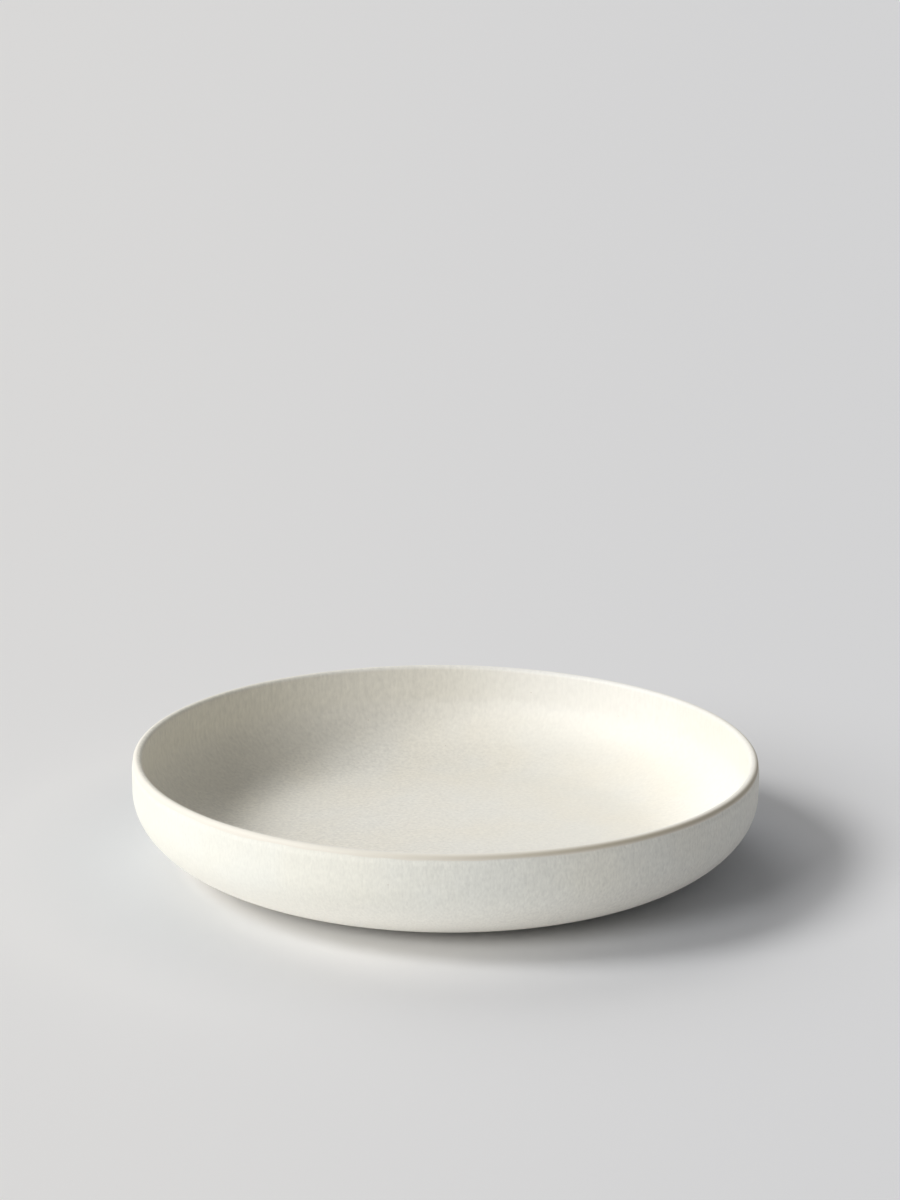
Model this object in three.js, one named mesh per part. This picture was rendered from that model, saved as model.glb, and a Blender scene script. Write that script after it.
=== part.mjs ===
// A deep plate: a turned stoneware body under three coats of satin matt glaze.
// Millimetres, +Z up, with the origin under the middle of the foot ring, on the table.
import * as THREE from 'three';

// Driving dimensions of the plate
const plateDiameter = 220; // over the glazed wall
const plateHeight = 38; // table to the crest of the rim
const wallThickness = 2.8; // clay in the wall, and the rim's round
const straightWall = 10; // upright stretch of wall between the rim's round and the turn
const floorThickness = 4.2; // clay between the well floor and the underside

// Driving dimensions of the foot
const footDiameter = 132; // outside of the ring's resting face
const footWidth = 5; // across the resting face
const footHeight = 1.6; // table to the underside outside the ring
const footChamfer = 0.6; // the ring's two broken edges
const baseRecess = 2.2; // table to the base inside the ring

// Driving dimensions of the glaze
const glazeThickness = 0.35;
const glazeTaper = 2.5; // length over which a coat thins out to its edge
const bareMargin = 2.5; // clay wiped bare on each side of the foot ring

// Fineness of the turned surfaces
const stepsAround = 48;
const stepsInTurn = 7;
const stepsInHalfRim = 3;

// Sizes worked out from the driving dimensions
const bodyRadius = plateDiameter / 2 - glazeThickness;
const rimRadius = wallThickness / 2;
const rimHeight = plateHeight - rimRadius;
const footOuter = footDiameter / 2 + footChamfer;
const footInner = footDiameter / 2 - footWidth - footChamfer;
const turnRadius = footOuter + bareMargin + glazeTaper;
const turnHeight = rimHeight - straightWall;
const wellHeight = footHeight + floorThickness;

const up = Math.PI / 2;
const outward = 0;
const inward = Math.PI;
const down = -Math.PI / 2;

// A station is a point of the clay's outline, the way its surface faces there,
// and the share of the full glaze thickness that lies on it.
function station(radius, height, facing, share) {
  return { radius, height, facing, share };
}

// Points of the clay under a run of stations
function clayUnder(run) {
  return run.map(({ radius, height }) => new THREE.Vector2(radius, height));
}

// Points of the glaze surface over the same stations
function glazeOver(run) {
  return run.map(({ radius, height, facing, share }) => {
    const depth = glazeThickness * share;
    return new THREE.Vector2(radius + depth * Math.cos(facing), height + depth * Math.sin(facing));
  });
}

// Quarter of an ellipse round the turn's centre, from upright wall to level floor.
// Both sides of the clay take it, the well side with its surface facing in.
function turn(width, height, side) {
  const run = [];
  for (let step = 0; step <= stepsInTurn; step += 1) {
    const angle = (step / stepsInTurn) * up;
    const across = Math.cos(angle);
    const below = Math.sin(angle);
    const facing = Math.atan2((-side * below) / height, (side * across) / width);
    run.push(station(turnRadius + width * across, turnHeight - height * below, facing, 1));
  }
  return run;
}

// Quarter of the rim's round, which leads from one side of the wall to the crest
function rimQuarter(side, shareAtWall) {
  const run = [];
  for (let step = 0; step <= stepsInHalfRim; step += 1) {
    const rise = (step / stepsInHalfRim) * up;
    const facing = side === outward ? rise : Math.PI - rise;
    const radius = bodyRadius - rimRadius + rimRadius * Math.cos(facing);
    const share = shareAtWall * (1 - step / stepsInHalfRim);
    run.push(station(radius, rimHeight + rimRadius * Math.sin(facing), facing, share));
  }
  return run;
}

// Outline of the clay, side by side with the glaze on it

// The base inside the foot ring, from the middle to where its glaze ends
const base = [
  station(0, baseRecess, down, 1),
  station(footInner - bareMargin - glazeTaper, baseRecess, down, 1),
  station(footInner - bareMargin, baseRecess, down, 0),
];

// The foot ring, all bare
const foot = [
  station(footInner, baseRecess, down, 0),
  station(footInner, footChamfer, inward, 0),
  station(footInner + footChamfer, 0, down, 0),
  station(footOuter - footChamfer, 0, down, 0),
  station(footOuter, footChamfer, outward, 0),
  station(footOuter, footHeight, outward, 0),
];

// The outside, from the glaze line beside the foot up to the bare rim
const outside = [
  station(footOuter + bareMargin, footHeight, down, 0),
  ...turn(bodyRadius - turnRadius, turnHeight - footHeight, 1).reverse(),
  station(bodyRadius, rimHeight - glazeTaper, outward, 1),
  station(bodyRadius, rimHeight, outward, 0),
];

// The rim's bare outer quarter, without its two ends, which belong to the coats beside it
const rimBreak = rimQuarter(outward, 0).slice(1, -1);

// The well, from the middle of its floor to the crest of the rim
const well = [
  station(0, wellHeight, up, 1),
  ...turn(bodyRadius - wallThickness - turnRadius, turnHeight - wellHeight, -1).reverse(),
  ...rimQuarter(inward, 1),
];

// A lathe turns round its own Y axis; here that axis stands upright.
function turned(profile) {
  return new THREE.LatheGeometry(profile, stepsAround).rotateX(up);
}

// A coat's outline runs out along one of its sides and back along the other.
// Its clay side follows the body's outline the other way round, so each four-sided facet
// is cut along its other diagonal: the two faces then meet triangle on triangle.
function turnedCoat(outRun, backRun) {
  const geometry = turned([...outRun, ...backRun.slice(0, -1).reverse()]);
  const index = geometry.getIndex();
  const cornerCount = 6;
  for (let first = 0; first < index.count; first += cornerCount) {
    const [a, b, d, c] = index.array.slice(first, first + cornerCount);
    index.array.set([a, b, c, a, c, d], first);
  }
  return geometry;
}

function clay() {
  return new THREE.MeshStandardMaterial({ color: '#cdbb9d', roughness: 0.85, metalness: 0 });
}

function glaze() {
  return new THREE.MeshStandardMaterial({ color: '#ede9dd', roughness: 0.55, metalness: 0 });
}

function piece(name, geometry, material) {
  const mesh = new THREE.Mesh(geometry, material);
  mesh.name = name;
  return mesh;
}

const bodyOutline = clayUnder([...base, ...foot, ...outside, ...rimBreak, ...well.slice().reverse()]);

const plate = new THREE.Group();
plate.add(piece('stoneware_body', turned(bodyOutline), clay()));
plate.add(piece('inside_glaze', turnedCoat(clayUnder(well), glazeOver(well)), glaze()));
plate.add(piece('outside_glaze', turnedCoat(glazeOver(outside), clayUnder(outside)), glaze()));
plate.add(piece('base_glaze', turnedCoat(glazeOver(base), clayUnder(base)), glaze()));

export default plate;
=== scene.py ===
import math

import bpy
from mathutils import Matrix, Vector


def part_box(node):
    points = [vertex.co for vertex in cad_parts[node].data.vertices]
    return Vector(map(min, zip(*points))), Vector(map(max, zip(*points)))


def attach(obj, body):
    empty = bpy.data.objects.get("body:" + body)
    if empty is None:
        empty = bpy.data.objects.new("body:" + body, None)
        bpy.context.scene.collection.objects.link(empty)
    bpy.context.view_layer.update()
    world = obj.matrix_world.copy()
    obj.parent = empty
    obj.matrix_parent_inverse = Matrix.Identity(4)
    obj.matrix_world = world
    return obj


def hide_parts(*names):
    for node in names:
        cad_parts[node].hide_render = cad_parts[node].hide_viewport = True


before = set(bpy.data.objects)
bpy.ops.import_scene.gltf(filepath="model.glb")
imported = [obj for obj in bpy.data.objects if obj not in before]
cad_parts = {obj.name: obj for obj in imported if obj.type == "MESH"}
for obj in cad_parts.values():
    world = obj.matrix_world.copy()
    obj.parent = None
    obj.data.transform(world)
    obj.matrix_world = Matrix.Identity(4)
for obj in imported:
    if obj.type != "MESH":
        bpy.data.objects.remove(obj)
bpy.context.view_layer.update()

mm = 0.001
up, down = math.pi / 2, -math.pi / 2
outward, inward = 0.0, math.pi
noiseSpan = (0.3, 0.7)       # nearly all of a noise texture lies between these


# Small helpers

def colour(hexCode):
    # sRGB hex to the linear values that shaders take
    channels = [int(hexCode[i:i + 2], 16) / 255 for i in (1, 3, 5)]
    linear = [c / 12.92 if c <= 0.04045 else ((c + 0.055) / 1.055) ** 2.4 for c in channels]
    return (*linear, 1.0)


def addNode(tree, kind, inputs=None, **settings):
    # one node with its settings; an input is a value, or the socket that feeds it
    # (a Mix takes its share at 0, numbers at 2 and 3 or colours at 6 and 7; a mixed colour comes out at 2)
    node = tree.nodes.new(kind)
    for name, value in settings.items():
        setattr(node, name, value)
    for key, value in (inputs or {}).items():
        if isinstance(value, bpy.types.NodeSocket):
            tree.links.new(value, node.inputs[key])
        else:
            node.inputs[key].default_value = value
    return node


def newMaterial(name):
    material = bpy.data.materials.new(name)
    material.use_nodes = True
    material.node_tree.nodes.clear()
    return material, material.node_tree


def measure(tree, place):
    # how far a point lies across the plate, to its back, up, and out from its axis
    x, y, z = addNode(tree, "ShaderNodeSeparateXYZ", {0: place}).outputs
    flat = addNode(tree, "ShaderNodeVectorMath", {0: place, 1: (1, 1, 0)}, operation="MULTIPLY").outputs[0]
    radius = addNode(tree, "ShaderNodeVectorMath", {0: flat}, operation="LENGTH").outputs["Value"]
    return dict(across=x, back=y, height=z, radius=radius)


def tint(tree, spot, tone, patch, way="MIX"):
    # lays a patch's tone over the tone so far, where a point has passed all of the patch's soft bands,
    # each from its first end to its second
    share = 1.0
    for name, (first, last) in patch["bands"]:
        ends = {"Value": spot[name], "From Min": first, "From Max": last}
        fade = addNode(tree, "ShaderNodeMapRange", ends, interpolation_type="SMOOTHSTEP").outputs[0]
        share = addNode(tree, "ShaderNodeMath", {0: fade, 1: share}, operation="MULTIPLY").outputs[0]
    return addNode(tree, "ShaderNodeMix", {0: share, 6: tone, 7: colour(patch["tone"])},
                   data_type="RGBA", blend_type=way).outputs[2]


# Camera, where the picture was taken from

cameraValues = dict(
    lens=85, sensor=36,      # mm, the sensor's long side stands upright
    aside=-1.0 * mm,         # just left of the plate's axis
    back=952.1 * mm,         # in front of the plate's axis
    height=340.7 * mm,       # above the table
    tiltDown=14.62, roll=-0.47,   # degrees
)


def setUpCamera(v):
    data = bpy.data.cameras.new("studioCamera")
    data.lens = v["lens"]
    data.sensor_width = v["sensor"]
    camera = bpy.data.objects.new("studioCamera", data)
    bpy.context.scene.collection.objects.link(camera)
    camera.location = (v["aside"], -v["back"], v["height"])
    camera.rotation_euler = (math.radians(90 - v["tiltDown"]), math.radians(v["roll"]), 0)
    bpy.context.scene.camera = camera


setUpCamera(cameraValues)
print("plate: camera set")


# Sizes that the frame's boxes give

bodyBox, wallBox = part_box("stoneware_body"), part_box("outside_glaze")
wellBox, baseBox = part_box("inside_glaze"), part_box("base_glaze")
bodyRadius = bodyBox[1].x
glazeDepth = wallBox[1].x - bodyRadius
rimCentre = wallBox[1].z                 # the coat on the wall stops level with the rim's centre
rimRound = bodyBox[1].z - rimCentre
crestRadius = bodyRadius - rimRound
underside = wallBox[0].z + glazeDepth    # clay beside the foot ring, above the table
wellFloor = wellBox[0].z                 # clay under the glaze in the well
baseHeight = baseBox[1].z
baseEdge = baseBox[1].x                  # where the glaze on the base ends

clayValues = dict(
    straightWall=10 * mm,    # upright stretch under the rim's round
    footInner=60.4 * mm,     # the foot ring's two sides
    footOuter=66.6 * mm,
    footRound=0.6 * mm,      # its worn edges
    bareMargin=2.5 * mm,     # clay wiped clean beside the foot
    glazeTaper=2.5 * mm,     # a coat thins out over this length
    edgeWaver=0.45 * mm,     # how far a glaze edge strays
    edgeRuffle=7.0,          # how often it strays, as a noise scale round the plate
    outOfRound=0.0007,       # share of the radius
    rimWaver=0.2 * mm,       # dips along the rim
    rimRoll=1.2,             # how often it dips, as a noise scale
    crispAngle=60,           # degrees, a sharper edge is shaded crisp
    weld=0.001 * mm,         # points nearer than this become one
    seed=4,
    # fineness of the outline and of the turning
    stepsAround=240, turnSteps=36, rimSteps=10, taperSteps=8,
    filletSteps=4, footSteps=5, wallSteps=6, wellWallSteps=10,
    ringSpacing=7 * mm,
)


# The outline, as stations along the clay: a point, the way the surface faces there,
# the share of a full coat on it, and how far a ragged glaze edge may slide it

def station(radius, height, facing, share=1.0, slide=(0.0, 0.0)):
    return dict(radius=radius, height=height, facing=facing, share=share, slide=slide)


def straight(start, end, steps, fade=None):
    # stations from start up to, but without, end; fade shapes a coat that thins out
    run = []
    for step in range(steps):
        t = step / steps
        mix = {key: start[key] + (end[key] - start[key]) * t for key in ("radius", "height", "facing")}
        eased = fade(t) if fade else t
        share = start["share"] + (end["share"] - start["share"]) * eased
        slide = tuple(a + (b - a) * t for a, b in zip(start["slide"], end["slide"]))
        run.append(station(mix["radius"], mix["height"], mix["facing"], share, slide))
    return run


def soft(t):
    return t * t * (3 - 2 * t)


def lip(t):
    # a glaze edge that stands round, as it does where it was wiped off
    return 1 - math.sqrt(1 - t * t)


def lipFrom(t):
    # the same, rising from the edge
    return 1 - lip(1 - t)


def arc(centre, radius, first, last, steps):
    # part of a round, bare of glaze
    run = []
    for step in range(steps + 1):
        facing = first + (last - first) * step / steps
        across, height = radius * math.cos(facing), radius * math.sin(facing)
        run.append(station(centre[0] + across, centre[1] + height, facing, 0))
    return run


def turn(centre, width, height, side, steps):
    # quarter ellipse between the upright wall and the level floor; side is -1 in the well
    run = []
    for step in range(steps + 1):
        angle = up * step / steps
        across, below = math.cos(angle), math.sin(angle)
        facing = math.atan2(-side * below / height, side * across / width)
        run.append(station(centre[0] + width * across, centre[1] - height * below, facing))
    return run


def outlineRuns(v):
    turnStart = v["footOuter"] + v["bareMargin"] + v["glazeTaper"]
    turnTop = rimCentre - v["straightWall"]
    turnCentre = (turnStart, turnTop)
    waver, taper = v["edgeWaver"], v["taperSteps"]
    rings = round(baseEdge / v["ringSpacing"])

    # the base inside the foot ring, out to where its glaze was wiped off
    baseFull = station(baseEdge - v["glazeTaper"], baseHeight, down)
    baseStop = station(baseEdge - waver, baseHeight, down, 0, (waver, 0))
    base = straight(station(0, baseHeight, down), baseFull, rings)
    base += straight(baseFull, baseStop, taper, lip) + [baseStop]

    # the bare foot ring
    r = v["footRound"]
    inside, outside = v["footInner"], v["footOuter"]
    foot = [station(inside - r, baseHeight, down, 0)]
    foot += arc((inside - r, baseHeight - r), r, up, outward, v["filletSteps"])[1:]
    foot += arc((inside + r, r), r, inward, inward + up, v["footSteps"])
    foot += arc((outside - r, r), r, down, outward, v["footSteps"])
    foot += [station(outside, underside, outward, 0)]

    # the outside, from the glaze line by the foot up to the rim
    wallFull = station(bodyRadius, rimCentre - v["glazeTaper"], outward)
    wallStop = station(bodyRadius, rimCentre - waver, outward, 0, (0, waver))
    underStop = station(turnStart - v["glazeTaper"] + waver, underside, down, 0, (-waver, 0))
    outer = turn(turnCentre, bodyRadius - turnStart, turnTop - underside, 1, v["turnSteps"])[::-1]
    wall = straight(underStop, outer[0], taper, lipFrom) + outer[:-1]
    wall += straight(outer[-1], wallFull, v["wallSteps"])
    wall += straight(wallFull, wallStop, taper, soft) + [wallStop]

    # the rim's outer quarter, then the well from its middle up to the crest
    rimEdge = arc((crestRadius, rimCentre), rimRound, outward, up, v["rimSteps"])
    wellWidth = bodyRadius - 2 * rimRound - turnStart
    inner = turn(turnCentre, wellWidth, turnTop - wellFloor, -1, v["turnSteps"])[::-1]
    well = straight(station(0, wellFloor, up), inner[0], rings) + inner[:-1]
    crest = arc((crestRadius, rimCentre), rimRound, inward, up, v["rimSteps"])
    for step, at in enumerate(crest):
        at["share"] = 1 - soft(step / v["rimSteps"])
    well += straight(inner[-1], crest[0], v["wellWallSteps"]) + crest
    return base, foot, wall, rimEdge, well


def clayUnder(run):
    return [(at["radius"], at["height"], at["slide"]) for at in run]


def glazeOver(run):
    points = []
    for at in run:
        depth = glazeDepth * at["share"]
        radius = at["radius"] + depth * math.cos(at["facing"])
        points.append((radius, at["height"] + depth * math.sin(at["facing"]), at["slide"]))
    return points


# Geometry Nodes: turns an outline round the plate's axis, as on a wheel

def makeWheel():
    tree = bpy.data.node_groups.new("turnOnWheel", "GeometryNodeTree")
    tree.is_modifier = True
    sockets = (("Outline", "NodeSocketGeometry"), ("Steps Around", "NodeSocketInt"),
               ("Out Of Round", "NodeSocketFloat"), ("Edge Ruffle", "NodeSocketFloat"),
               ("Rim Roll", "NodeSocketFloat"), ("Rim Waver", "NodeSocketFloat"),
               ("Rim Start", "NodeSocketFloat"), ("Rim End", "NodeSocketFloat"),
               ("Crisp Angle", "NodeSocketFloat"), ("Weld", "NodeSocketFloat"),
               ("Seed", "NodeSocketFloat"), ("Finish", "NodeSocketMaterial"))
    for name, kind in sockets:
        tree.interface.new_socket(name=name, in_out="INPUT", socket_type=kind)
    tree.interface.new_socket(name="Turned", in_out="OUTPUT", socket_type="NodeSocketGeometry")
    given = addNode(tree, "NodeGroupInput").outputs
    stepsAround = given["Steps Around"]

    # a grid with one row for each point of the outline and one column for each step round
    size = addNode(tree, "GeometryNodeAttributeDomainSize", {0: given["Outline"]})
    points = size.outputs["Point Count"]
    columns = addNode(tree, "ShaderNodeMath", {0: stepsAround, 1: 1}, operation="ADD").outputs[0]
    grid = addNode(tree, "GeometryNodeMeshGrid", {"Vertices X": columns, "Vertices Y": points})
    index = addNode(tree, "GeometryNodeInputIndex").outputs[0]
    ratio = addNode(tree, "ShaderNodeMath", {0: index, 1: points}, operation="DIVIDE").outputs[0]
    column = addNode(tree, "ShaderNodeMath", {0: ratio}, operation="FLOOR").outputs[0]
    row = addNode(tree, "ShaderNodeMath", {0: index, 1: points}, operation="MODULO").outputs[0]

    # the outline's point and the slide of its glaze edge, for each row
    place = addNode(tree, "GeometryNodeInputPosition").outputs[0]
    slide = addNode(tree, "GeometryNodeInputNamedAttribute", {"Name": "slide"},
                    data_type="FLOAT_VECTOR").outputs[0]
    sampled = []
    for field in (place, slide):
        node = addNode(tree, "GeometryNodeSampleIndex", {0: given["Outline"], "Value": field, "Index": row},
                       data_type="FLOAT_VECTOR", domain="POINT")
        sampled.append(node.outputs[0])
    outlinePoint, edgeSlide = sampled

    # the angle of each column, and wavering that closes on itself round the plate
    part = addNode(tree, "ShaderNodeMath", {0: column, 1: stepsAround}, operation="DIVIDE").outputs[0]
    angle = addNode(tree, "ShaderNodeMath", {0: part, 1: 2 * math.pi}, operation="MULTIPLY").outputs[0]
    cosine = addNode(tree, "ShaderNodeMath", {0: angle}, operation="COSINE").outputs[0]
    sine = addNode(tree, "ShaderNodeMath", {0: angle}, operation="SINE").outputs[0]
    around = addNode(tree, "ShaderNodeCombineXYZ", {"X": cosine, "Y": sine}).outputs[0]
    wavers = []
    for scale in (given["Edge Ruffle"], given["Rim Roll"]):
        noise = addNode(tree, "ShaderNodeTexNoise", {"Vector": around, "W": given["Seed"], "Scale": scale},
                        noise_dimensions="4D").outputs[0]
        wave = addNode(tree, "ShaderNodeMapRange", {"Value": noise, "From Min": noiseSpan[0],
                       "From Max": noiseSpan[1], "To Min": -1, "To Max": 1})
        wavers.append(wave.outputs[0])
    ragged, slow = wavers

    # the glaze edge slides either way
    offset = addNode(tree, "ShaderNodeVectorMath", {0: edgeSlide, "Scale": ragged},
                     operation="SCALE").outputs[0]
    moved = addNode(tree, "ShaderNodeVectorMath", {0: outlinePoint, 1: offset}, operation="ADD").outputs[0]
    moved = addNode(tree, "ShaderNodeSeparateXYZ", {0: moved}).outputs

    # the plate is a little oval, never wider than its size
    double = addNode(tree, "ShaderNodeMath", {0: angle, 1: 2, 2: given["Seed"]},
                     operation="MULTIPLY_ADD").outputs[0]
    oval = addNode(tree, "ShaderNodeMath", {0: double}, operation="COSINE").outputs[0]
    shrink = addNode(tree, "ShaderNodeMapRange", {"Value": oval, "From Min": -1, "From Max": 1,
                     "To Min": -1, "To Max": 0}).outputs[0]
    shrink = addNode(tree, "ShaderNodeMath", {0: shrink, 1: given["Out Of Round"], 2: 1},
                     operation="MULTIPLY_ADD").outputs[0]
    radius = addNode(tree, "ShaderNodeMath", {0: moved["X"], 1: shrink}, operation="MULTIPLY").outputs[0]

    # the rim dips, never higher than its size, and the dip fades out down the wall
    lift = addNode(tree, "ShaderNodeMapRange", {"Value": moved["Z"], "From Min": given["Rim Start"],
                   "From Max": given["Rim End"]}, interpolation_type="SMOOTHSTEP").outputs[0]
    dip = addNode(tree, "ShaderNodeMapRange", {"Value": slow, "From Min": -1, "From Max": 1,
                  "To Min": -1, "To Max": 0}).outputs[0]
    dip = addNode(tree, "ShaderNodeMath", {0: dip, 1: given["Rim Waver"]}, operation="MULTIPLY").outputs[0]
    height = addNode(tree, "ShaderNodeMath", {0: dip, 1: lift, 2: moved["Z"]},
                     operation="MULTIPLY_ADD").outputs[0]

    x = addNode(tree, "ShaderNodeMath", {0: radius, 1: cosine}, operation="MULTIPLY").outputs[0]
    y = addNode(tree, "ShaderNodeMath", {0: radius, 1: sine}, operation="MULTIPLY").outputs[0]
    point = addNode(tree, "ShaderNodeCombineXYZ", {"X": x, "Y": y, "Z": height}).outputs[0]

    # close the seam and the poles, keep the thin glaze edges crisp
    shape = addNode(tree, "GeometryNodeSetPosition", {"Geometry": grid.outputs["Mesh"], "Position": point})
    shape = addNode(tree, "GeometryNodeMergeByDistance", {0: shape.outputs[0], "Distance": given["Weld"]})
    shape = addNode(tree, "GeometryNodeSetShadeSmooth", {0: shape.outputs[0], "Shade Smooth": True})
    bend = addNode(tree, "GeometryNodeInputMeshEdgeAngle").outputs["Unsigned Angle"]
    crisp = addNode(tree, "FunctionNodeCompare", {0: bend, 1: given["Crisp Angle"]},
                    data_type="FLOAT", operation="GREATER_THAN").outputs[0]
    shape = addNode(tree, "GeometryNodeSetShadeSmooth",
                    {0: shape.outputs[0], "Selection": crisp, "Shade Smooth": False}, domain="EDGE")
    shape = addNode(tree, "GeometryNodeRealizeInstances", {0: shape.outputs[0]})
    shape = addNode(tree, "GeometryNodeSetMaterial", {0: shape.outputs[0], "Material": given["Finish"]})
    addNode(tree, "NodeGroupOutput", {0: shape.outputs[0]})
    return tree


def turnPiece(name, node, outline, finish, wheel, v):
    # the outline as a line of points that carry their slide
    mesh = bpy.data.meshes.new(name)
    mesh.from_pydata([(radius, 0, height) for radius, height, slide in outline], [], [])
    slides = mesh.attributes.new("slide", "FLOAT_VECTOR", "POINT")
    for point, (radius, height, slide) in zip(slides.data, outline):
        point.vector = (slide[0], 0, slide[1])
    piece = bpy.data.objects.new(name, mesh)
    bpy.context.scene.collection.objects.link(piece)

    modifier = piece.modifiers.new("wheel", "NODES")
    modifier.node_group = wheel
    given = {
        "Steps Around": v["stepsAround"], "Out Of Round": v["outOfRound"],
        "Edge Ruffle": v["edgeRuffle"], "Rim Roll": v["rimRoll"], "Rim Waver": v["rimWaver"],
        "Rim Start": wellFloor + 2 * glazeDepth,     # above the well's floor, whose middle stays one point
        "Rim End": rimCentre,
        "Crisp Angle": math.radians(v["crispAngle"]), "Weld": v["weld"],
        "Seed": float(v["seed"]), "Finish": finish,
    }
    for item in wheel.interface.items_tree:
        if item.in_out == "INPUT" and item.name in given:
            modifier[item.identifier] = given[item.name]
    graph = bpy.context.evaluated_depsgraph_get()
    turned = bpy.data.meshes.new_from_object(piece.evaluated_get(graph), depsgraph=graph)
    piece.modifiers.clear()
    piece.data = turned
    turned.name = name
    bpy.data.meshes.remove(mesh)

    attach(piece, "root")
    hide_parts(node)
    print("plate:", name, len(turned.vertices), "points")


# Materials

# Just under the rim's round the coat runs thin and the clay shows through it as a warm line; painted shade
# darkens that line towards the shaded right and lets it fade out towards the lit left.
rimFilmAndShade = dict(
    tone="#cfc5b0",
    bands=(
        ("height", (rimCentre - 1.0 * mm, rimCentre + 0.4 * mm)),    # fades in up the wall
        ("height", (rimCentre + 1.4 * mm, rimCentre + 0.5 * mm)),    # and out again towards the crest
        ("radius", (crestRadius, crestRadius + 0.8 * mm)),           # on the outer side only
        # painted shade: the line is full on the shaded right and gone on the lit left
        ("across", (-60 * mm, 70 * mm)),                             # none on the left, full on the right
    ),
)

wellGlazeValues = dict(
    colour="#f0ede3", warm="#ede5d3", cool="#e7e6e0",
    # width and length of three noises: the matt surface's grain, faint runs of the pour, drifts of tone
    grain=(1.25 * mm, 2.8 * mm),
    runs=(1.1 * mm, 9 * mm),
    cloud=(30 * mm, 30 * mm),
    runShare=0.25,                       # of the runs in the grain
    driftSpan=(0.35, 0.65),              # part of the cloud noise that goes from warm to cool
    plainShare=0.75,                     # of the plain colour over the drifts
    floorDepth=0.56, wallDepth=0.38,     # how much the grain lightens and darkens
    levelSpan=(0.85, 0.99),              # upward share of the facing, from wall to floor
    # whiter up the wall; painted light makes the back right's upper wall, which the lamps leave darker,
    # whiter still; painted shade makes the shaded left darker and warmer
    ends=(
        dict(tone="#f1eee5", bands=(("height", (9 * mm, 25 * mm)),)),
        # painted shade on the shaded left: darker and warmer
        dict(tone="#ebe7da", bands=(("across", (-25 * mm, -95 * mm)),)),
        # painted light on the upper wall at the back right, where the lamps fall short
        dict(tone="#f6f4ee", bands=(("height", (18 * mm, 27 * mm)), ("across", (-10 * mm, 40 * mm)),
                                    ("back", (40 * mm, 80 * mm)))),
    ),
    calm=0.4, calmSpan=(-50 * mm, 70 * mm),      # the grain calms down to this share, from left to right
    speck="#a8947a", speckCell=3.0 * mm, speckRadius=0.22 * mm,
    speckShare=0.03,                     # of the cells, so that most stay plain
    speckCore=0.4, speckStrength=0.6,    # its dark middle as a share of the radius, and how dark
    roughness=0.55, roughnessSwing=0.06, ior=1.5,
    bump=0.25, bumpHeight=0.12 * mm,
)

# the outside was dipped on its own: a cooler white with a tighter grain, and calmer from right to left; low
# down it is lighter and creamier, which is painted light from the floor's bounce
wallGlazeValues = dict(
    wellGlazeValues, colour="#f6f6ed", grain=(0.75 * mm, 1.7 * mm), wallDepth=0.49,
    # painted light: lighter and creamier low down, where the floor throws light back up
    ends=(dict(tone="#fcf9f0", bands=(("height", (26 * mm, 7 * mm)),)),),
    calm=0.33, calmSpan=(60 * mm, -90 * mm),
)


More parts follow.
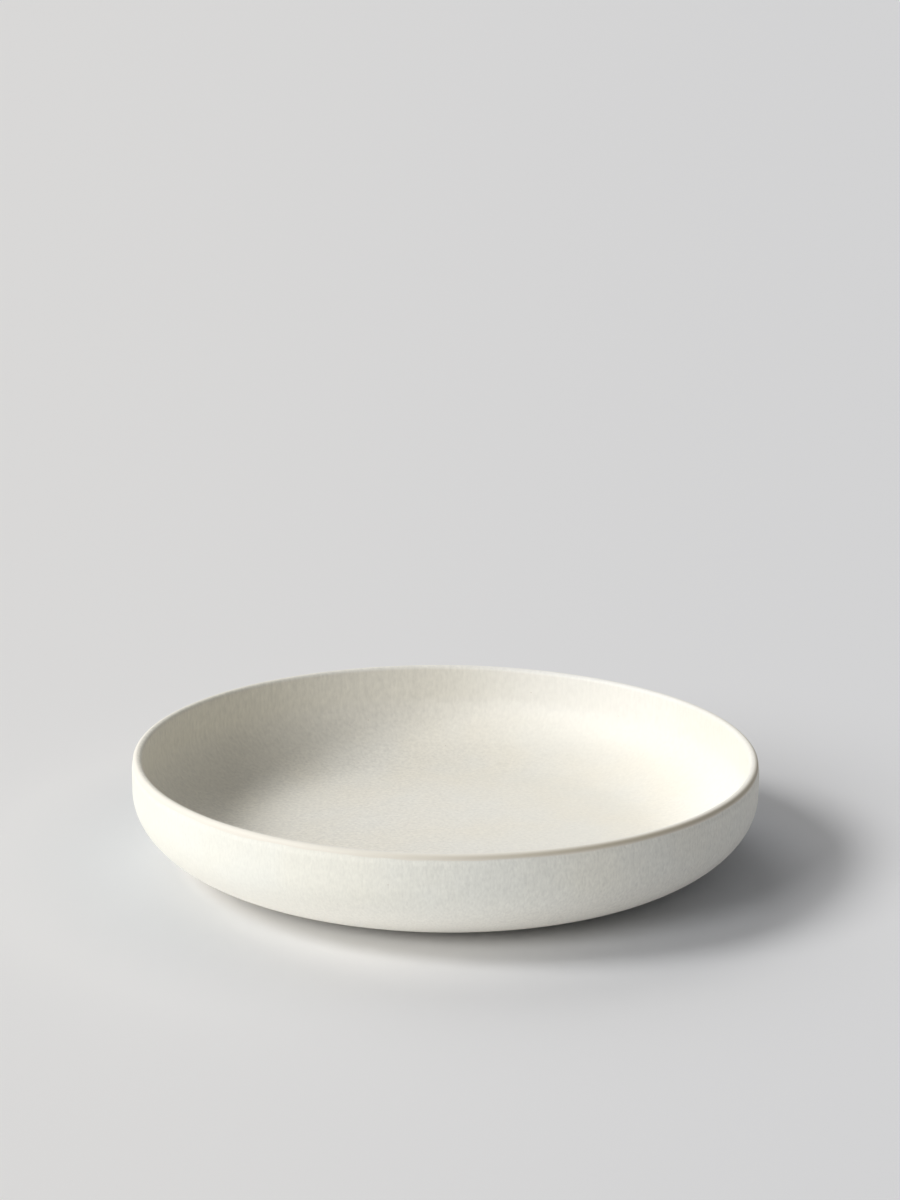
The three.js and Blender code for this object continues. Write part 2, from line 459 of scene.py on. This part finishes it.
def makeGlaze(name, v, filmAndShade):
    # satin matt stoneware glaze: a soft off-white with faint runs down the walls,
    # a fine grain like eggshell, and a wide dull highlight
    material, tree = newMaterial(name)
    texture = addNode(tree, "ShaderNodeTexCoord").outputs
    place = texture["Object"]
    spot = measure(tree, place)

    # noise that is longer up and down than round the plate; on the level floor it stays even
    noises = []
    for width, length in (v["grain"], v["runs"], v["cloud"]):
        scale = (1 / width, 1 / width, 1 / length)
        drawn = addNode(tree, "ShaderNodeMapping", {"Vector": place, "Scale": scale}).outputs[0]
        noises.append(addNode(tree, "ShaderNodeTexNoise", {"Vector": drawn, "Scale": 1.0}).outputs[0])
    grain, runs, cloud = noises
    grain = addNode(tree, "ShaderNodeMix", {0: v["runShare"], 2: grain, 3: runs},
                    data_type="FLOAT").outputs[0]

    # tone: drifts between warm and cool under the plain colour, then its ends, mostly painted light and
    # shade
    drift = addNode(tree, "ShaderNodeMapRange", {"Value": cloud, "From Min": v["driftSpan"][0],
                    "From Max": v["driftSpan"][1]}).outputs[0]
    tone = addNode(tree, "ShaderNodeMix", {0: drift, 6: colour(v["warm"]), 7: colour(v["cool"])},
                   data_type="RGBA").outputs[2]
    tone = addNode(tree, "ShaderNodeMix", {0: v["plainShare"], 6: tone, 7: colour(v["colour"])},
                   data_type="RGBA").outputs[2]
    for end in v["ends"]:
        tone = tint(tree, spot, tone, end)

    # the grain makes it a little lighter and darker, more so on the floor and on one side
    level = addNode(tree, "ShaderNodeSeparateXYZ", {0: texture["Normal"]}).outputs["Z"]
    depth = addNode(tree, "ShaderNodeMapRange", {
        "Value": level, "From Min": v["levelSpan"][0], "From Max": v["levelSpan"][1],
        "To Min": v["wallDepth"], "To Max": v["floorDepth"],
    }).outputs[0]
    calm = addNode(tree, "ShaderNodeMapRange", {"Value": spot["across"], "From Min": v["calmSpan"][0],
                   "From Max": v["calmSpan"][1], "To Min": 1.0, "To Max": v["calm"]},
                   interpolation_type="SMOOTHSTEP").outputs[0]
    depth = addNode(tree, "ShaderNodeMath", {0: depth, 1: calm}, operation="MULTIPLY").outputs[0]
    middle = sum(noiseSpan) / 2
    swing = addNode(tree, "ShaderNodeMath", {0: grain, 1: middle}, operation="SUBTRACT").outputs[0]
    shade = addNode(tree, "ShaderNodeMath", {0: swing, 1: depth, 2: 1.0},
                    operation="MULTIPLY_ADD").outputs[0]
    tone = addNode(tree, "ShaderNodeVectorMath", {0: tone, "Scale": shade}, operation="SCALE").outputs[0]

    # a few iron specks
    cells = addNode(tree, "ShaderNodeTexVoronoi", {"Vector": place, "Scale": 1 / v["speckCell"]}).outputs
    edge = v["speckRadius"] / v["speckCell"]
    near = addNode(tree, "ShaderNodeMapRange", {"Value": cells["Distance"], "From Min": edge,
                   "From Max": v["speckCore"] * edge}).outputs[0]
    draw = addNode(tree, "ShaderNodeSeparateXYZ", {0: cells["Color"]}).outputs["X"]
    pick = addNode(tree, "ShaderNodeMath", {0: draw, 1: 1 - v["speckShare"]}, operation="GREATER_THAN")
    speck = addNode(tree, "ShaderNodeMath", {0: near, 1: pick.outputs[0]}, operation="MULTIPLY")
    speck = addNode(tree, "ShaderNodeMath", {0: speck.outputs[0], 1: v["speckStrength"]},
                    operation="MULTIPLY")
    tone = addNode(tree, "ShaderNodeMix", {0: speck.outputs[0], 6: tone, 7: colour(v["speck"])},
                   data_type="RGBA").outputs[2]
    # the rim line: thin glaze over clay, with painted shade that deepens it towards the shaded right
    tone = tint(tree, spot, tone, filmAndShade)

    matt = addNode(tree, "ShaderNodeMapRange", {
        "Value": grain, "From Min": noiseSpan[0], "From Max": noiseSpan[1],
        "To Min": v["roughness"] - v["roughnessSwing"], "To Max": v["roughness"] + v["roughnessSwing"],
    }).outputs[0]
    bump = addNode(tree, "ShaderNodeBump", {"Height": grain, "Strength": v["bump"],
                   "Distance": v["bumpHeight"]}).outputs[0]
    shader = addNode(tree, "ShaderNodeBsdfPrincipled", {"Base Color": tone, "Roughness": matt,
                     "Normal": bump, "IOR": v["ior"]})
    addNode(tree, "ShaderNodeOutputMaterial", {"Surface": shader.outputs[0]})
    return material


stonewareValues = dict(
    colour="#c9b795", dark="#b39f7c", grog="#8f7a5c",
    grain=0.7 * mm, grainDetail=4.0, grainBreak=0.65,    # sandy, with sharp finer grains in it
    grogCell=1.6 * mm, grogEdge=(0.22, 0.12),       # soft edge of a grain of grog, in cells
    roughness=0.85, ior=1.5,
    bump=0.3, bumpHeight=0.12 * mm,
    skin="#f3eee2", skinFrom=(20 * mm, 24 * mm),    # the rim's edge wears a skin of glaze
    skinRoughness=0.58,
)


def makeStoneware(v, filmAndShade):
    # bare stoneware, turned and fired: dry buff clay with sandy grog, under a thin skin of glaze at the rim
    material, tree = newMaterial("bareStoneware")
    place = addNode(tree, "ShaderNodeTexCoord").outputs["Object"]
    spot = measure(tree, place)
    grain = addNode(tree, "ShaderNodeTexNoise", {"Vector": place, "Scale": 1 / v["grain"],
                    "Detail": v["grainDetail"], "Roughness": v["grainBreak"]}).outputs[0]
    cells = addNode(tree, "ShaderNodeTexVoronoi", {"Vector": place, "Scale": 1 / v["grogCell"]}).outputs
    grog = addNode(tree, "ShaderNodeMapRange", {"Value": cells["Distance"], "From Min": v["grogEdge"][0],
                   "From Max": v["grogEdge"][1]}).outputs[0]
    skin = addNode(tree, "ShaderNodeMapRange", {"Value": spot["height"], "From Min": v["skinFrom"][0],
                   "From Max": v["skinFrom"][1]}).outputs[0]
    tone = colour(v["dark"])
    for share, shown in ((grain, v["colour"]), (grog, v["grog"]), (skin, v["skin"])):
        tone = addNode(tree, "ShaderNodeMix", {0: share, 6: tone, 7: colour(shown)},
                       data_type="RGBA").outputs[2]
    # the rim line: thin glaze over clay, with painted shade that deepens it towards the shaded right
    tone = tint(tree, spot, tone, filmAndShade)
    matt = addNode(tree, "ShaderNodeMapRange", {"Value": skin, "To Min": v["roughness"],
                   "To Max": v["skinRoughness"]}).outputs[0]
    bump = addNode(tree, "ShaderNodeBump", {"Height": grain, "Strength": v["bump"],
                   "Distance": v["bumpHeight"]}).outputs[0]
    shader = addNode(tree, "ShaderNodeBsdfPrincipled", {"Base Color": tone, "Roughness": matt,
                     "Normal": bump, "IOR": v["ior"]})
    addNode(tree, "ShaderNodeOutputMaterial", {"Surface": shader.outputs[0]})
    return material


wellGlaze = makeGlaze("pouredSatinGlaze", wellGlazeValues, rimFilmAndShade)
wallGlaze = makeGlaze("dippedSatinGlaze", wallGlazeValues, rimFilmAndShade)
stoneware = makeStoneware(stonewareValues, rimFilmAndShade)
print("plate: glazes and clay mixed")


# The four pieces of the plate; a coat runs out along one of its sides and back along the other

wheel = makeWheel()
base, foot, wall, rimEdge, well = outlineRuns(clayValues)
clayLine = clayUnder(base + foot + wall + rimEdge + well[:-1][::-1])
wellCoat = clayUnder(well) + glazeOver(well[:-1])[::-1]
wallCoat = glazeOver(wall) + clayUnder(wall[:-1])[::-1]
baseCoat = glazeOver(base) + clayUnder(base[:-1])[::-1]
turnPiece("stonewareBody", "stoneware_body", clayLine, stoneware, wheel, clayValues)
turnPiece("wellGlaze", "inside_glaze", wellCoat, wellGlaze, wheel, clayValues)
turnPiece("wallGlaze", "outside_glaze", wallCoat, wallGlaze, wheel, clayValues)
turnPiece("baseGlaze", "base_glaze", baseCoat, wallGlaze, wheel, clayValues)


# Stage: a pale floor that runs out of sight, under soft lamps from the left, the front left and behind

stageValues = dict(
    floorSize=30.0,                      # metres
    # painted light: the board is seen a little darker from left to right, away from the lamps, in lines
    # that fan out towards the back
    seenLeft="#f0efee", seenRight="#e9e9ea",
    fallFrom=0.95,                       # metres in front of the plate, where the lines would meet
    fallNear=0.5,                        # metres from there within which they run straight
    fallWidth=0.19,                      # slant of the outermost lines
    # what it throws back on the plate, also from left to right
    bounceLeft="#ffffff", bounceRight="#d6d6da",
    bounceSpan=(5 * mm, 150 * mm),
    # painted shade on the board: beside the lit wall, where it darkens the light which that wall throws on
    # the board, and a painted shadow, deeper and cooler, under the shaded one
    paintedShade=(
        dict(tone="#e3e6e9", bands=(("radius", (88 * mm, 98 * mm)), ("radius", (168 * mm, 100 * mm)),
                                    ("across", (-20 * mm, -110 * mm)))),
        dict(tone="#c2c8d1", bands=(("radius", (160 * mm, 60 * mm)), ("across", (-18 * mm, 120 * mm)))),
    ),
    sky="#d6d6d6", ambient=0.211,        # seen, and shed on the plate
    lamps=(                              # degrees, and the light on a card that faces the lamp
        dict(name="keyLamp", azimuth=185, elevation=41, spread=22, level=0.47),
        dict(name="lowFill", azimuth=222, elevation=25, spread=24, level=0.36),
        dict(name="backFill", azimuth=112, elevation=36, spread=38, level=0.212),
    ),
)


def seenRays(tree):
    # full where the board or the sky is looked at, also in a gloss, and none where it only sheds light
    path = addNode(tree, "ShaderNodeLightPath").outputs
    seen = path["Is Camera Ray"]
    for ray in ("Is Glossy Ray", "Is Transmission Ray"):
        seen = addNode(tree, "ShaderNodeMath", {0: seen, 1: path[ray]}, operation="MAXIMUM").outputs[0]
    return seen


def makeFloorPaint(v):
    # matt painted board: plain, a shade lighter towards the lamps, and throwing light back up at the plate
    material, tree = newMaterial("mattPaintedBoard")
    place = addNode(tree, "ShaderNodeTexCoord").outputs["Object"]
    spot = measure(tree, place)
    reach = addNode(tree, "ShaderNodeMath", {0: spot["back"], 1: v["fallFrom"]}, operation="ADD").outputs[0]
    reach = addNode(tree, "ShaderNodeMath", {0: reach, 1: v["fallNear"]}, operation="MAXIMUM").outputs[0]
    slant = addNode(tree, "ShaderNodeMath", {0: spot["across"], 1: reach}, operation="DIVIDE").outputs[0]
    fall = addNode(tree, "ShaderNodeMapRange", {"Value": slant, "From Min": -v["fallWidth"],
                   "From Max": v["fallWidth"]}, interpolation_type="SMOOTHSTEP").outputs[0]
    left, right = colour(v["seenLeft"]), colour(v["seenRight"])
    shown = addNode(tree, "ShaderNodeMix", {0: fall, 6: left, 7: right}, data_type="RGBA").outputs[2]
    # painted shade and a painted shadow on the board round the plate
    for patch in v["paintedShade"]:
        shown = tint(tree, spot, shown, patch, "MULTIPLY")
    side = addNode(tree, "ShaderNodeMapRange", {"Value": spot["across"], "From Min": v["bounceSpan"][0],
                   "From Max": v["bounceSpan"][1]}, interpolation_type="SMOOTHSTEP").outputs[0]
    left, right = colour(v["bounceLeft"]), colour(v["bounceRight"])
    bounce = addNode(tree, "ShaderNodeMix", {0: side, 6: left, 7: right}, data_type="RGBA").outputs[2]
    seen = seenRays(tree)
    tone = addNode(tree, "ShaderNodeMix", {0: seen, 6: bounce, 7: shown}, data_type="RGBA").outputs[2]
    shader = addNode(tree, "ShaderNodeBsdfDiffuse", {"Color": tone})
    addNode(tree, "ShaderNodeOutputMaterial", {"Surface": shader.outputs[0]})
    return material


def setUpFloor(v):
    half = v["floorSize"] / 2
    corners = [(-half, -half, 0), (half, -half, 0), (half, half, 0), (-half, half, 0)]
    mesh = bpy.data.meshes.new("studioFloor")
    mesh.from_pydata(corners, [], [(0, 1, 2, 3)])
    mesh.materials.append(makeFloorPaint(v))
    floor = bpy.data.objects.new("studioFloor", mesh)
    bpy.context.scene.collection.objects.link(floor)


def setUpWorld(v):
    world = bpy.data.worlds.new("studioWorld")
    bpy.context.scene.world = world
    world.use_nodes = True
    tree = world.node_tree
    tree.nodes.clear()
    seen = seenRays(tree)
    shed = (v["ambient"], v["ambient"], v["ambient"], 1)
    tone = addNode(tree, "ShaderNodeMix", {0: seen, 6: shed, 7: colour(v["sky"])},
                   data_type="RGBA").outputs[2]
    sky = addNode(tree, "ShaderNodeBackground", {"Color": tone})
    addNode(tree, "ShaderNodeOutputWorld", {"Surface": sky.outputs[0]})


def setUpLamps(v):
    for lamp in v["lamps"]:
        data = bpy.data.lights.new(lamp["name"], "SUN")
        data.angle = math.radians(lamp["spread"])
        data.energy = lamp["level"] * math.pi      # at level 1 a white card facing it shows white
        holder = bpy.data.objects.new(lamp["name"], data)
        bpy.context.scene.collection.objects.link(holder)
        azimuth, elevation = math.radians(lamp["azimuth"]), math.radians(lamp["elevation"])
        level = math.cos(elevation)
        towards = Vector((math.cos(azimuth) * level, math.sin(azimuth) * level, math.sin(elevation)))
        holder.location = towards
        holder.rotation_euler = (-towards).to_track_quat("-Z", "Y").to_euler()


setUpFloor(stageValues)
setUpWorld(stageValues)
setUpLamps(stageValues)
bpy.context.scene.view_settings.view_transform = "Standard"
print("plate: stage and lamps set")
